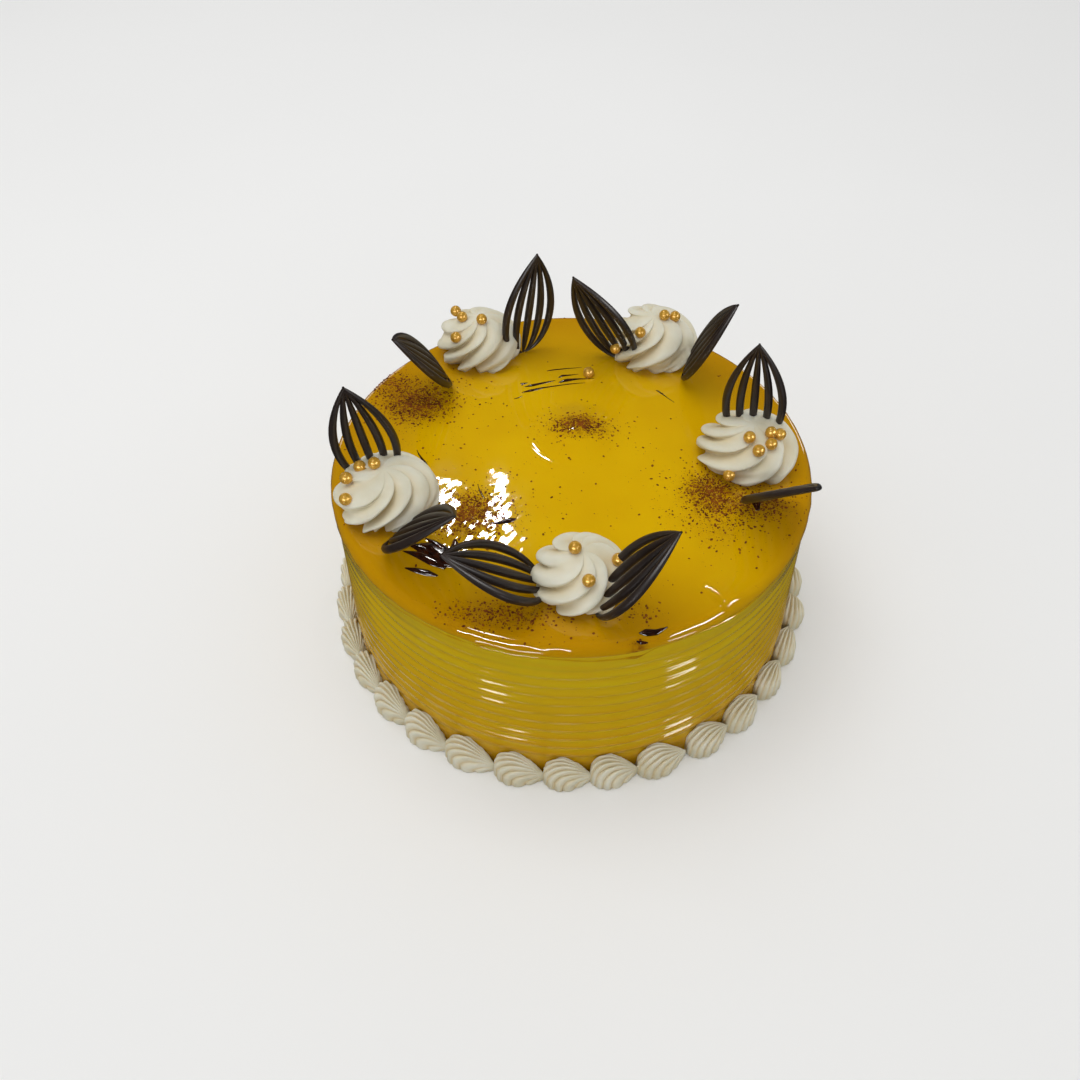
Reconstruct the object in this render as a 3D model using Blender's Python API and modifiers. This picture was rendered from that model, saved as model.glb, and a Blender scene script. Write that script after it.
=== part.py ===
"""Mango cream cake: an uncut round cake with a combed side, a cap of mango glaze,
piped cream rosettes with gold pearls and chocolate leaves, and a ring of piped shells.

Metres, +Z up. The origin is the centre of the cake's underside, and -Y is its front.
"""
import math
import random

import bmesh
import bpy
from mathutils import Euler, Matrix, Vector
from mathutils.bvhtree import BVHTree

MM = 0.001

# Gap between pieces that touch on the real cake
GAP = 0.3 * MM
# Faces that meet at less than this are made one after a cut
FLAT_ANGLE = math.radians(0.5)

# Cake under the glaze
CAKE_TOP = 79.0 * MM
CAKE_TOP_RADIUS = 95.2 * MM
CAKE_BASE_RADIUS = 100.6 * MM
CAKE_SHOULDER = 3.0 * MM
CAKE_FOOT_BEVEL = 1.0 * MM
CAKE_STEPS = 40

# Level ridges left by the comb
RIDGE_COUNT = 12
RIDGE_TOP = 72.0 * MM
RIDGE_BOTTOM = 4.0 * MM
RIDGE_DEPTH = 0.9 * MM
RIDGE_CREST_SHARE = 0.35

# Cap of glaze, with a soft rim and a lip that runs a little way down the side
GLAZE_TOP = 82.0 * MM
RIM_RADIUS = 96.6 * MM
RIM_ROUNDING = 4.0 * MM
LIP_DROP = 7.0 * MM
LIP_WAVES = ((3, 0.9 * MM, 0.6), (7, 0.5 * MM, 2.1))
CAP_STEPS = 40
CAP_RINGS = (9.0 * MM, 17.0 * MM, 25.0 * MM, 34.0 * MM, 60.0 * MM)

# Low mound of glaze near the middle of the top
MOUND_AT = (2.0 * MM, 13.0 * MM)
MOUND_RADIUS = 21.0 * MM
MOUND_HEIGHT = 4.0 * MM

# Gold sugar pearls
PEARL_RADIUS = 2.2 * MM
PEARL_SINK = 0.35
PEARL_SEGMENTS = 6
PEARL_RINGS = 4
LOOSE_PEARL_AT = (7.0 * MM, 50.9 * MM)

# Rosettes: place, radius and height in mm, then the pearls by azimuth and
# angle from straight up, in degrees, as seen from the rosette's middle
ROSETTES = {
    "front": ((3.9, -66.8), 17.6, 17.0, ((178, 7), (-6, 46), (-79, 40))),
    "right": ((70.7, 0.4), 20.0, 16.5, ((-107, 23), (-40, 22), (-29, 31), (-59, 35), (-87, 40), (-119, 96))),
    "back_right": ((35.2, 68.6), 19.9, 18.5, ((-122, 35), (-13, 12), (5, 27), (-149, 84))),
    "back_left": ((-41.3, 66.6), 18.9, 18.5, ((151, 36), (-172, 20), (-64, 11), (-131, 47))),
    "left": ((-69.4, -27.9), 19.5, 17.0, ((162, 33), (152, 11), (-170, 44), (-139, 58))),
}
ROSETTE_LOBES = 8
ROSETTE_POINTS_PER_LOBE = 4
ROSETTE_GROOVE = 0.17
ROSETTE_TWIST = math.radians(100)
ROSETTE_CENTRE_SHARE = 0.39
# Share of the height, and share of the radius there
ROSETTE_PROFILE = ((0.0, 0.84), (0.10, 0.97), (0.30, 1.0), (0.52, 0.93), (0.72, 0.76), (0.87, 0.53), (0.96, 0.28))

ENVELOPE_SIDES = 16
ENVELOPE_FOOT = 0.15

# Chocolate leaves: flat, pointed, with slots between five ribs
LEAF_LENGTH = 50.0 * MM
LEAF_WIDTH = 25.0 * MM
LEAF_THICKNESS = 2.6 * MM
LEAF_WIDEST = 0.40
LEAF_OUTLINE_POINTS = 7
LEAF_SLOT_CENTRES = (-0.654, -0.218, 0.218, 0.654)
LEAF_SLOT_HALF_WIDTH = 0.096
LEAF_SLOT_START = 0.06
LEAF_SLOT_END = 0.82
LEAF_SLOT_POINTS = (0.22, 0.48, 0.70)
# Place of the base in mm, then heading, rise and roll in degrees
LEAVES = {
    "front_left": ((-9.5, -68.1), -151, 44, -14),
    "front_right": ((8.8, -77.8), -9, 59, 7),
    "right_behind": ((73.2, 8.3), -149, 83, -135),
    "right_before": ((72.1, -24.3), -74, 48, -1),
    "back_right_inner": ((23.4, 61.2), -168, 61, -132),
    "back_right_outer": ((49.1, 53.6), -47, 63, 31),
    "back_left_inner": ((-22.6, 66.2), -14, 81, 136),
    "back_left_outer": ((-55.9, 49.1), -115, 50, -34),
    "left_behind": ((-75.7, -16.0), -120, 82, -138),
    "left_before": ((-65.8, -46.5), -38, 44, 3),
}

# Piped shells round the foot, their tails pointing anticlockwise seen from above
SHELL_AZIMUTHS_FRONT = (-179.7, -169.0, -158.0, -147.4, -136.3, -125.1, -113.3, -101.6, -90.6,
                        -80.2, -69.0, -56.4, -45.3, -33.0, -21.8, -10.6, -0.2)
SHELLS_BEHIND = 15
SHELL_CENTRE_RADIUS = 102.3 * MM
SHELL_LENGTH = 20.4 * MM
SHELL_WIDTH = 14.4 * MM
SHELL_HEIGHT = 14.5 * MM
SHELL_UNEVENNESS = 0.05
SHELL_SEED = 11
SHELL_WIDEST = 0.40
SHELL_TAIL_HEIGHT = 0.28
SHELL_RIDGES = 7
SHELL_GROOVE = 0.13
# How far round the edge the outermost ridges end, counted from the head
SHELL_FAN = math.radians(158)
# Rings of a shell: share of the way from its tail to its edge
SHELL_RINGS = (0.32, 0.58, 0.80, 0.94)
SHELL_FOOT_INSET = 0.88

CAKE_NAME = "mango_cream_cake"


def collection(name):
    group = bpy.data.collections.new(name)
    bpy.context.scene.collection.children.link(group)
    return group


def clear_scene():
    for item in list(bpy.data.objects):
        bpy.data.objects.remove(item, do_unlink=True)


def make_material(name, colour, roughness, metallic=0.0):
    made = bpy.data.materials.new(name)
    made.use_nodes = True
    shader = made.node_tree.nodes["Principled BSDF"]
    shader.inputs["Base Color"].default_value = (*colour, 1.0)
    shader.inputs["Roughness"].default_value = roughness
    shader.inputs["Metallic"].default_value = metallic
    return made


def add_object(name, mesh, group, material):
    item = bpy.data.objects.new(name, mesh)
    mesh.materials.append(material)
    group.objects.link(item)
    return item


def baked(item):
    """Replace an object by its evaluated mesh, welded and placed in the world."""
    bpy.context.view_layer.update()
    evaluated = item.evaluated_get(bpy.context.evaluated_depsgraph_get())
    mesh = bpy.data.meshes.new_from_object(evaluated)
    mesh.transform(item.matrix_world)
    work = bmesh.new()
    work.from_mesh(mesh)
    bmesh.ops.remove_doubles(work, verts=work.verts, dist=0.005 * MM)
    bmesh.ops.recalc_face_normals(work, faces=work.faces)
    work.to_mesh(mesh)
    work.free()
    group = item.users_collection[0]
    name = item.name
    bpy.data.objects.remove(item, do_unlink=True)
    solid = bpy.data.objects.new(name, mesh)
    group.objects.link(solid)
    return solid


def turned(name, profile, steps, group, material):
    """Turn a profile, given from the top down its outer side, about the Z axis."""
    mesh = bpy.data.meshes.new(name)
    points = [(radius, 0.0, height) for radius, height in profile]
    mesh.from_pydata(points, [(i, i + 1) for i in range(len(points) - 1)], [])
    item = add_object(name, mesh, group, material)
    screw = item.modifiers.new("Turn", "SCREW")
    screw.steps = steps
    screw.render_steps = steps
    screw.use_merge_vertices = True
    screw.merge_threshold = 0.005 * MM
    return item


def loft(name, rings, tip, group, material):
    """Closed body through rings of points, with a flat foot and a tip."""
    work = bmesh.new()
    made = [[work.verts.new(point) for point in ring] for ring in rings]
    for low, high in zip(made, made[1:]):
        for i in range(len(low)):
            j = (i + 1) % len(low)
            work.faces.new((low[i], low[j], high[j], high[i]))
    top = work.verts.new(tip)
    for i in range(len(made[-1])):
        work.faces.new((made[-1][i], made[-1][(i + 1) % len(made[-1])], top))
    work.faces.new(list(reversed(made[0])))
    bmesh.ops.recalc_face_normals(work, faces=work.faces)
    mesh = bpy.data.meshes.new(name)
    work.to_mesh(mesh)
    work.free()
    return add_object(name, mesh, group, material)


def apply_boolean(item, operation, others):
    """Join or cut an object with a collection of objects, which are then removed."""
    step = item.modifiers.new("Combine", "BOOLEAN")
    step.operation = operation
    step.operand_type = "COLLECTION"
    step.collection = others
    combined = baked(item)
    for other in list(others.objects):
        bpy.data.objects.remove(other, do_unlink=True)
    return combined


def keep_largest_piece(item):
    """Drop the scraps that a cut leaves loose."""
    work = bmesh.new()
    work.from_mesh(item.data)
    unseen = set(work.verts)
    pieces = []
    while unseen:
        piece = {unseen.pop()}
        edge = list(piece)
        while edge:
            for link in edge.pop().link_edges:
                for vert in link.verts:
                    if vert in unseen:
                        unseen.remove(vert)
                        piece.add(vert)
                        edge.append(vert)
        pieces.append(piece)
    largest = max(pieces, key=len)
    bmesh.ops.delete(work, geom=[v for v in work.verts if v not in largest], context="VERTS")
    bmesh.ops.dissolve_limit(work, angle_limit=FLAT_ANGLE, verts=work.verts, edges=work.edges)
    work.to_mesh(item.data)
    work.free()


def pearl(at, grow, group, material):
    bpy.ops.mesh.primitive_uv_sphere_add(segments=PEARL_SEGMENTS, ring_count=PEARL_RINGS,
                                         radius=PEARL_RADIUS + grow, location=at)
    item = bpy.context.object
    item.name = "pearl"
    for home in list(item.users_collection):
        home.objects.unlink(item)
    group.objects.link(item)
    item.data.materials.append(material)
    return item


def wall_radius(height):
    """Radius of the combed side's ridges at a height."""
    share = min(max(height / RIDGE_TOP, 0.0), 1.0)
    return CAKE_BASE_RADIUS + (CAKE_TOP_RADIUS + RIDGE_DEPTH - CAKE_BASE_RADIUS) * share ** 0.7


def make_cake(group, material):
    profile = [(0.0, CAKE_TOP), (CAKE_TOP_RADIUS - CAKE_SHOULDER, CAKE_TOP),
               (CAKE_TOP_RADIUS - CAKE_SHOULDER * 0.3, CAKE_TOP - CAKE_SHOULDER * 0.3),
               (CAKE_TOP_RADIUS, CAKE_TOP - CAKE_SHOULDER), (CAKE_TOP_RADIUS, RIDGE_TOP + RIDGE_DEPTH)]
    pitch = (RIDGE_TOP - RIDGE_BOTTOM) / RIDGE_COUNT
    for i in range(RIDGE_COUNT):
        crest = RIDGE_TOP - pitch * (i + RIDGE_CREST_SHARE)
        groove = RIDGE_TOP - pitch * (i + 1)
        profile.append((wall_radius(crest), crest))
        profile.append((wall_radius(groove) - RIDGE_DEPTH, groove))
    profile.append((CAKE_BASE_RADIUS, CAKE_FOOT_BEVEL))
    profile.append((CAKE_BASE_RADIUS - CAKE_FOOT_BEVEL, 0.0))
    profile.append((0.0, 0.0))
    return turned("cake_body", profile, CAKE_STEPS, group, material)


def lip_wave(azimuth):
    return sum(size * math.sin(count * azimuth + phase) for count, size, phase in LIP_WAVES)


def mound_rise(x, y):
    away = math.hypot(x - MOUND_AT[0], y - MOUND_AT[1]) / MOUND_RADIUS
    return MOUND_HEIGHT * (1.0 - away * away) ** 2 if away < 1.0 else 0.0


def make_glaze(group, cutters, material, gold):
    """The cap: a turned skin, then its lip made wavy and its mound raised."""
    arc_centre = (RIM_RADIUS - RIM_ROUNDING, GLAZE_TOP - RIM_ROUNDING)
    arc = [(arc_centre[0] + RIM_ROUNDING * math.sin(turn), arc_centre[1] + RIM_ROUNDING * math.cos(turn))
           for turn in (math.radians(angle) for angle in (0, 30, 60, 90))]
    lip = GLAZE_TOP - LIP_DROP
    lip_wall = CAKE_TOP_RADIUS + GAP
    underside = CAKE_TOP + GAP
    profile = [(0.0, GLAZE_TOP)] + [(radius, GLAZE_TOP) for radius in CAP_RINGS] + arc
    profile += [(RIM_RADIUS, lip + 0.5 * MM), (lip_wall, lip), (lip_wall, CAKE_TOP - CAKE_SHOULDER),
                (lip_wall - CAKE_SHOULDER * 0.3, CAKE_TOP - CAKE_SHOULDER * 0.3 + GAP),
                (lip_wall - CAKE_SHOULDER, underside), (0.0, underside)]
    cap = baked(turned("glaze_cap", profile, CAP_STEPS, group, material))
    rim_bottom = arc_centre[1]
    for vert in cap.data.vertices:
        x, y, z = vert.co
        if z < rim_bottom - 0.1 * MM and math.hypot(x, y) > lip_wall - 0.1 * MM:
            vert.co.z += lip_wave(math.atan2(y, x)) * min(1.0, (rim_bottom - z) / (rim_bottom - lip))
        elif z > underside + 0.1 * MM:
            vert.co.z += mound_rise(x, y)
    pearl((*LOOSE_PEARL_AT, GLAZE_TOP + PEARL_RADIUS * (1.0 - PEARL_SINK)), 0.0, cutters, gold)
    return apply_boolean(cap, "UNION", cutters)


def rosette_shape(name, spec, group, material):
    """Twisted, pleated dome of piped cream."""
    (x, y), radius, height, _ = spec
    count = ROSETTE_LOBES * ROSETTE_POINTS_PER_LOBE
    base = GLAZE_TOP + GAP
    rings = []
    for up, out in ROSETTE_PROFILE:
        ring = []
        for i in range(count):
            turn = 2.0 * math.pi * i / count
            pleat = abs(math.sin(turn * ROSETTE_LOBES / 2.0))
            groove = ROSETTE_GROOVE * (1.0 - pleat) * min(1.0, out * 1.2)
            reach = radius * MM * out * (1.0 - groove)
            azimuth = turn + ROSETTE_TWIST * up
            ring.append((x * MM + reach * math.cos(azimuth), y * MM + reach * math.sin(azimuth),
                         base + height * MM * up))
        rings.append(ring)
    return loft(name, rings, (x * MM, y * MM, base + height * MM), group, material)


def rosette_envelope(spec, group, material):
    """Plain dome just outside a rosette, reaching below the glaze, to cut the leaves by."""
    (x, y), radius, height, _ = spec
    slack = 2.0 * GAP
    rings = []
    for up, out in ((-ENVELOPE_FOOT, ROSETTE_PROFILE[0][1]), *ROSETTE_PROFILE[1:]):
        reach = (radius * MM * out + slack) / math.cos(math.pi / ENVELOPE_SIDES)
        level = GLAZE_TOP + GAP + (height * MM + slack) * up
        rings.append([(x * MM + reach * math.cos(2.0 * math.pi * i / ENVELOPE_SIDES),
                       y * MM + reach * math.sin(2.0 * math.pi * i / ENVELOPE_SIDES), level)
                      for i in range(ENVELOPE_SIDES)])
    tip = (x * MM, y * MM, GLAZE_TOP + GAP + height * MM + 2.0 * slack)
    return loft("rosette_envelope", rings, tip, group, material)


def pearl_centres(item, spec):
    """Where a rosette's pearls sit, each a little sunk into the cream."""
    (x, y), radius, height, pearls = spec
    centres = []
    surface = bmesh.new()
    surface.from_mesh(item.data)
    tree = BVHTree.FromBMesh(surface)
    centre = Vector((x * MM, y * MM, GLAZE_TOP + GAP + height * MM * ROSETTE_CENTRE_SHARE))
    for azimuth, angle in pearls:
        turn, tilt = math.radians(azimuth), math.radians(angle)
        way = Vector((math.sin(tilt) * math.cos(turn) * radius, math.sin(tilt) * math.sin(turn) * radius,
                      math.cos(tilt) * height * (1.0 - ROSETTE_CENTRE_SHARE))).normalized()
        start = centre + way * 2.0 * radius * MM
        hit, normal, _, _ = tree.ray_cast(start, -way)
        at = hit + normal * PEARL_RADIUS * (1.0 - PEARL_SINK)
        at.z = max(at.z, GLAZE_TOP + GAP + PEARL_RADIUS)
        centres.append(at)
    surface.free()
    return centres


def make_rosette(place, spec, group, cutters, material, gold):
    """Make a rosette and return the centres of the pearls fused to it."""
    item = rosette_shape(f"rosette_{place}", spec, group, material)
    centres = pearl_centres(item, spec)
    for at in centres:
        pearl(at, 0.0, cutters, gold)
    apply_boolean(item, "UNION", cutters)
    return centres


def leaf_half_width(share):
    """Half the leaf's width at a share of its length, as a share of the most."""
    if share < LEAF_WIDEST:
        return math.sqrt(max(0.0, 1.0 - ((LEAF_WIDEST - share) / LEAF_WIDEST) ** 2.2))
    return 1.0 - ((share - LEAF_WIDEST) / (1.0 - LEAF_WIDEST)) ** 1.9


def add_outline(curve, points):
    spline = curve.splines.new("POLY")
    spline.points.add(len(points) - 1)
    for point, (x, y) in zip(spline.points, points):
        point.co = (x, y, 0.0, 1.0)
    spline.use_cyclic_u = True


def leaf_blank(name, group, material):
    """The flat leaf with its slots, as a filled outline, its base at the origin."""
    half = LEAF_WIDTH / 2.0
    curve = bpy.data.curves.new(name, "CURVE")
    curve.dimensions = "2D"
    curve.fill_mode = "BOTH"
    curve.extrude = LEAF_THICKNESS / 2.0
    shares = [0.5 - 0.5 * math.cos(math.pi * i / (LEAF_OUTLINE_POINTS + 1))
              for i in range(1, LEAF_OUTLINE_POINTS + 1)]
    edge = [(share * LEAF_LENGTH, half * leaf_half_width(share)) for share in shares]
    add_outline(curve, [(0.0, 0.0)] + edge + [(LEAF_LENGTH, 0.0)] + [(x, -y) for x, y in reversed(edge)])
    for centre in LEAF_SLOT_CENTRES:
        def side(share, sign):
            across = leaf_half_width(share) * (centre + sign * LEAF_SLOT_HALF_WIDTH)
            return share * LEAF_LENGTH, half * across
        ends = [side(LEAF_SLOT_START, 0.0), side(LEAF_SLOT_END, 0.0)]
        near = [side(share, -1.0) for share in LEAF_SLOT_POINTS]
        far = [side(share, 1.0) for share in reversed(LEAF_SLOT_POINTS)]
        add_outline(curve, [ends[0]] + near + [ends[1]] + far)
    item = bpy.data.objects.new(name, curve)
    curve.materials.append(material)
    group.objects.link(item)
    return item


def make_leaf(place, spec, pearls, group, cutters, material, cream):
    """Stand a leaf at its place, drop it to the glaze and cut it where the cream holds it."""
    (x, y), heading, rise, roll = spec
    item = leaf_blank(f"leaf_{place}", group, material)
    turn = Euler([math.radians(angle) for angle in (roll, -rise, heading)])
    item.matrix_world = Matrix.Translation((x * MM, y * MM, 0.0)) @ turn.to_matrix().to_4x4()
    leaf = baked(item)
    lowest = min(vert.co.z for vert in leaf.data.vertices)
    leaf.data.transform(Matrix.Translation((0.0, 0.0, GLAZE_TOP + GAP - lowest)))
    for rosette, rosette_spec in ROSETTES.items():
        if place.startswith(rosette):
            rosette_envelope(rosette_spec, cutters, cream)
            for at in pearls[rosette]:
                pearl(at, GAP, cutters, cream)
    leaf = apply_boolean(leaf, "DIFFERENCE", cutters)
    keep_largest_piece(leaf)
    return leaf


def shell_taper(share, head_power, tail_power):
    """Rises from the head to the widest place, then falls to the tail."""
    if share < SHELL_WIDEST:
        return math.sqrt(max(0.0, 1.0 - ((SHELL_WIDEST - share) / SHELL_WIDEST) ** head_power))
    return 1.0 - ((share - SHELL_WIDEST) / (1.0 - SHELL_WIDEST)) ** tail_power


def shell_half_width(share):
    return shell_taper(share, 2.0, 1.7)


def shell_crown(share):
    """Height of a shell along its middle, as a share of the most."""
    if share < SHELL_WIDEST:
        return shell_taper(share, 2.4, 1.5)
    return SHELL_TAIL_HEIGHT + (1.0 - SHELL_TAIL_HEIGHT) * shell_taper(share, 2.4, 1.5)


def shell_edge(swing):
    """Place on a shell's edge, as shares of its length and half width."""
    run = SHELL_WIDEST if abs(swing) < math.pi / 2.0 else 1.0 - SHELL_WIDEST
    share = SHELL_WIDEST - math.cos(swing) * run
    return share, math.copysign(shell_half_width(share), swing)


def shell_point(ring_share, swing, groove):
    """Place on a shell's skin, as shares of its length, half width and height."""
    edge_share, edge_across = shell_edge(swing)
    share = 1.0 + (edge_share - 1.0) * ring_share
    across = edge_across * ring_share
    flank = min(1.0, abs(across) / max(shell_half_width(share), ring_share * 1e-6))
    up = shell_crown(share) * math.sqrt(max(0.0, 1.0 - flank ** 2.2))
    shrink = 1.0 - groove * min(1.0, ring_share * 1.6)
    return share, across * shrink, up * shrink


def make_shell(name, azimuth, length, width, height, group, material):
    """Piped shell: ridges fan from its tail over its head down to the table."""

    def placed(share, across, up):
        out = SHELL_CENTRE_RADIUS + across * width / 2.0
        along = (share - 0.5) * length
        level = up * height
        reach = max(math.hypot(out, along), wall_radius(level) + GAP)
        bearing = azimuth + math.atan2(along, out)
        return reach * math.cos(bearing), reach * math.sin(bearing), level

    meridians = 2 * SHELL_RIDGES + 1
    swings = [SHELL_FAN * (2.0 * i / (meridians - 1) - 1.0) for i in range(meridians)]
    edge = [shell_edge(swing) for swing in swings]
    foot = [placed(SHELL_WIDEST + (share - SHELL_WIDEST) * SHELL_FOOT_INSET, across * SHELL_FOOT_INSET, 0.0)
            for share, across in edge]
    rings = [foot]
    for ring_share in reversed(SHELL_RINGS):
        rings.append([placed(*shell_point(ring_share, swing, SHELL_GROOVE if i % 2 == 0 else 0.0))
                      for i, swing in enumerate(swings)])
    tip = placed(1.0, 0.0, SHELL_TAIL_HEIGHT)
    return loft(name, rings, tip, group, material)


def make_shells(group, material):
    behind_start = SHELL_AZIMUTHS_FRONT[-1]
    behind_span = 360.0 + SHELL_AZIMUTHS_FRONT[0] - behind_start
    azimuths = list(SHELL_AZIMUTHS_FRONT)
    azimuths += [behind_start + behind_span * (i + 1) / (SHELLS_BEHIND + 1) for i in range(SHELLS_BEHIND)]
    draw = random.Random(SHELL_SEED)
    count = len(azimuths)
    for i, azimuth in enumerate(azimuths):
        step_after = (azimuths[(i + 1) % count] - azimuth) % 360.0
        step_before = (azimuth - azimuths[i - 1]) % 360.0
        room = math.radians(min(step_after, step_before)) * SHELL_CENTRE_RADIUS
        uneven = [1.0 + SHELL_UNEVENNESS * draw.uniform(-1.0, 1.0) for _ in range(3)]
        length = min(SHELL_LENGTH * uneven[0], room - 2.0 * GAP)
        make_shell(f"shell_{i + 1:02d}", math.radians(azimuth), length,
                   SHELL_WIDTH * uneven[1], SHELL_HEIGHT * uneven[2], group, material)


def build_cake():
    clear_scene()
    parts = collection(CAKE_NAME)
    cutters = collection("cutters")
    side = make_material("cream_under_mango_gel", (0.42, 0.28, 0.008), 0.22)
    glaze = make_material("mango_glaze", (0.58, 0.34, 0.001), 0.08)
    cream = make_material("whipped_cream", (0.60, 0.55, 0.42), 0.55)
    chocolate = make_material("dark_chocolate", (0.022, 0.013, 0.010), 0.35)
    gold = make_material("gold_sugar_pearl", (0.55, 0.27, 0.05), 0.30, 0.8)
    make_cake(parts, side)
    make_glaze(parts, cutters, glaze, gold)
    pearls = {place: make_rosette(place, spec, parts, cutters, cream, gold)
              for place, spec in ROSETTES.items()}
    for place, spec in LEAVES.items():
        make_leaf(place, spec, pearls, parts, cutters, chocolate, cream)
    make_shells(parts, cream)
    for item in parts.objects:
        if not item.name.startswith("leaf_"):
            item.data.shade_smooth()
            item.data.set_sharp_from_angle(angle=math.radians(40))


build_cake()
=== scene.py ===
# %% [markdown]
# # A mango cream cake
# The real thing is a sponge spread with whipped cream, combed on its side, covered with mango gel, and
# trimmed with piped cream, chocolate leaves, sugar pearls and a dusting of cocoa.
# The solids of the cake come in as a fixed frame. Each cell below takes one of its pieces or finishes and
# makes the fine surface that the plain solid stands for, in the same place and at the same size.

# %% Load the fixed frame
import math
import random

import bmesh
import bpy
import numpy as np
from mathutils import Euler, Matrix, Vector
from mathutils.bvhtree import BVHTree


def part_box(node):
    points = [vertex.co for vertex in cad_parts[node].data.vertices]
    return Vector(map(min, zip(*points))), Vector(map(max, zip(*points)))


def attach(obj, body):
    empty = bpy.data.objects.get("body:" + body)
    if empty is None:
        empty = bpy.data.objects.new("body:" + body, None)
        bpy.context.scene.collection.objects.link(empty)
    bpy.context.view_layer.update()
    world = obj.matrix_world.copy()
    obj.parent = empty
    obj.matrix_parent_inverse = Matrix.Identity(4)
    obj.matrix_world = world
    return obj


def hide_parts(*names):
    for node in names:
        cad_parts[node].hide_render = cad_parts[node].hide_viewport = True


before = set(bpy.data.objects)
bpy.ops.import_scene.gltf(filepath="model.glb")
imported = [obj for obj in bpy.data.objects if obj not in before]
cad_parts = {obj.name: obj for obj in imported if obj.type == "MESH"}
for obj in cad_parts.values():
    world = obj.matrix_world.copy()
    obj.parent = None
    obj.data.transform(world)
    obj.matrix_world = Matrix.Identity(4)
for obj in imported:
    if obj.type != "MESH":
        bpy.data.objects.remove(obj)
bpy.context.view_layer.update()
MM = 0.001
FULL_TURN = 2.0 * math.pi
BODY = "root"

# %% [markdown]
# ## Sizes
# The frame gives the height of the glaze and the width of the rim, so those are read from it. The places
# of the rosettes and leaves are the maker's own, in millimetres from the middle of the cake.

# %% Sizes read from the frame, and the cook's layout
RIM_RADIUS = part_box("glaze_cap")[1].x
BASE_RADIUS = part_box("cake_body")[1].x
CAKE_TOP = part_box("cake_body")[1].z
GLAZE_THICKNESS = 3.0 * MM
GAP = 0.3 * MM
GLAZE_TOP = CAKE_TOP + GLAZE_THICKNESS
ON_GLAZE = GLAZE_TOP + GAP
# Place and radius of each rosette, and its height, in mm
ROSETTES = {
    "front": (3.9, -66.8, 17.6, 17.0),
    "right": (70.7, 0.4, 20.0, 16.5),
    "back_right": (35.2, 68.6, 19.9, 18.5),
    "back_left": (-41.3, 66.6, 18.9, 18.5),
    "left": (-69.4, -27.9, 19.5, 17.0),
}
# Pearls on each rosette, by azimuth and by angle from straight up, in degrees
PEARLS = {
    "front": ((178, 7), (-6, 46), (-79, 40)),
    "right": ((-107, 23), (-40, 22), (-29, 31), (-59, 35), (-87, 40), (-119, 96)),
    "back_right": ((-122, 35), (-13, 12), (5, 27), (-149, 84)),
    "back_left": ((151, 36), (-172, 20), (-64, 11), (-131, 47)),
    "left": ((162, 33), (152, 11), (-170, 44), (-139, 58)),
}
LOOSE_PEARL = (7.0, 50.9)
# Place of each leaf's base in mm, then its heading, rise and roll in degrees
LEAVES = {
    "front_left": (-9.5, -68.1, -151, 44, -14),
    "front_right": (8.8, -77.8, -9, 59, 7),
    "right_behind": (73.2, 8.3, -149, 83, -135),
    "right_before": (72.1, -24.3, -74, 48, -1),
    "back_right_inner": (23.4, 61.2, -168, 61, -132),
    "back_right_outer": (49.1, 53.6, -47, 63, 31),
    "back_left_inner": (-22.6, 66.2, -14, 81, 136),
    "back_left_outer": (-55.9, 49.1, -115, 50, -34),
    "left_behind": (-75.7, -16.0, -120, 82, -138),
    "left_before": (-65.8, -46.5, -38, 44, 3),
}
print("glaze top", GLAZE_TOP, "rim radius", RIM_RADIUS)

# %% [markdown]
# ## Small helpers for nodes
# Materials and Geometry Nodes trees are both node trees, so one function can add a node to either: it sets
# the node's own settings, then fills each input with a value or joins it to another node's output.
# The others are short names for the nodes used most, and hand on the node's result: a sum on numbers or on
# places, noise, a fade from one value to another, a tint that follows a value, and a blend of two colours.
# Colours are written as the hex codes that a colour picker shows, and turned to linear light here.

# %% Colour and node helpers
def colour(code):
    shares = [int(code[i:i + 2], 16) / 255.0 for i in (1, 3, 5)]
    return (*[s / 12.92 if s <= 0.04045 else ((s + 0.055) / 1.055) ** 2.4 for s in shares], 1.0)


def add(tree, kind, inputs=None, **settings):
    node = tree.nodes.new(kind)
    for name, value in settings.items():
        setattr(node, name, value)
    for socket, value in (inputs or {}).items():
        if isinstance(value, bpy.types.NodeSocket):
            tree.links.new(value, node.inputs[socket])
        else:
            node.inputs[socket].default_value = value
    return node


def calc(tree, operation, *values, clamp=False):
    node = add(tree, "ShaderNodeMath", dict(enumerate(values)), operation=operation, use_clamp=clamp)
    return node.outputs[0]


def vector(tree, operation, *values):
    """A length or a distance gives a number, and everything else a vector."""
    node = add(tree, "ShaderNodeVectorMath", dict(enumerate(values)), operation=operation)
    return node.outputs["Value" if operation in ("LENGTH", "DISTANCE") else "Vector"]


def stretched(tree, way, length):
    return add(tree, "ShaderNodeVectorMath", {0: way, "Scale": length}, operation="SCALE").outputs[0]


def height_of(tree, place):
    return add(tree, "ShaderNodeSeparateXYZ", {0: place}).outputs["Z"]


def noise(tree, place, size, detail, **inputs):
    """Noise from 0 to 1 whose patches are about as wide as the size."""
    inputs = {"Vector": place, "Scale": 1.0 / size, "Detail": detail, **inputs}
    return add(tree, "ShaderNodeTexNoise", inputs).outputs[0]


def fade(tree, value, start, stop, low=0.0, high=1.0, style="SMOOTHSTEP"):
    inputs = {"Value": value, "From Min": start, "From Max": stop, "To Min": low, "To Max": high}
    return add(tree, "ShaderNodeMapRange", inputs, interpolation_type=style).outputs[0]


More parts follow.
